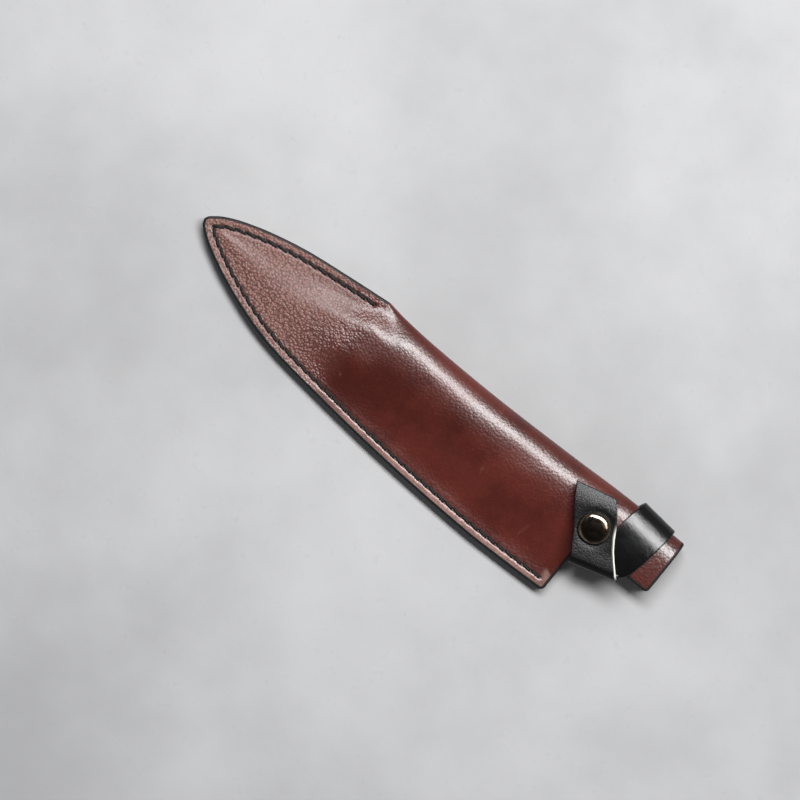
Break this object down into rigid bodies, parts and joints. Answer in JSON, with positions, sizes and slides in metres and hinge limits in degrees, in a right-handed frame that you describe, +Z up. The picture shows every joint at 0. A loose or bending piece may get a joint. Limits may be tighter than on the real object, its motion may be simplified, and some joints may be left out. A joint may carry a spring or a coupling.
{
  "type": "leather knife sheath",
  "caption": "Flat folded leather sheath for a curved broad blade, stitched along belly and point, with a handle tongue and a snap strap.",
  "frame": {"origin": "middle of the bounding box, on the flat surface that the sheath's back panel rests on", "axes": "+X along the sheath from the point to the tongue's end, +Y towards the folded spine, +Z up through the front panel"},
  "size_m": [0.2605, 0.0618, 0.0217],
  "materials": {
    "brown_leather": "glossy full-grain leather",
    "welt_leather": "edge-painted leather",
    "black_leather": "smooth black leather",
    "thread": "waxed thread",
    "dark_nickel": "polished black nickel",
    "plain_steel": "plated steel"
  },
  "bodies": {
    "sheath": {"sheath_body": "brown_leather", "belly_welt": "welt_leather", "tip_welt": "welt_leather", "belly_stitches_front": "thread", "belly_stitches_back": "thread", "tip_stitches_front": "thread", "tip_stitches_back": "thread", "strap_wrap": "black_leather", "snap_stud": "plain_steel", "snap_post": "plain_steel", "anchor_rivet_caps": "dark_nickel", "anchor_rivet_heads": "plain_steel"},
    "band": {"strap_band": "black_leather"},
    "tab": {"strap_tab": "black_leather", "snap_cap": "dark_nickel", "snap_socket": "plain_steel"}
  },
  "joints": [
    {"name": "band_bend", "type": "hinge", "parent": "sheath", "child": "band", "pos_m": [0.11297, 0.02307, 0.01485], "axis": [-0.9954, 0.096, 0], "range_deg": [0, 110]},
    {"name": "tab_bend", "type": "hinge", "parent": "band", "child": "tab", "pos_m": [0.105, -0.00845, 0.0167], "axis": [0.9597, 0.281, 0], "range_deg": [0, 150]}
  ]
}
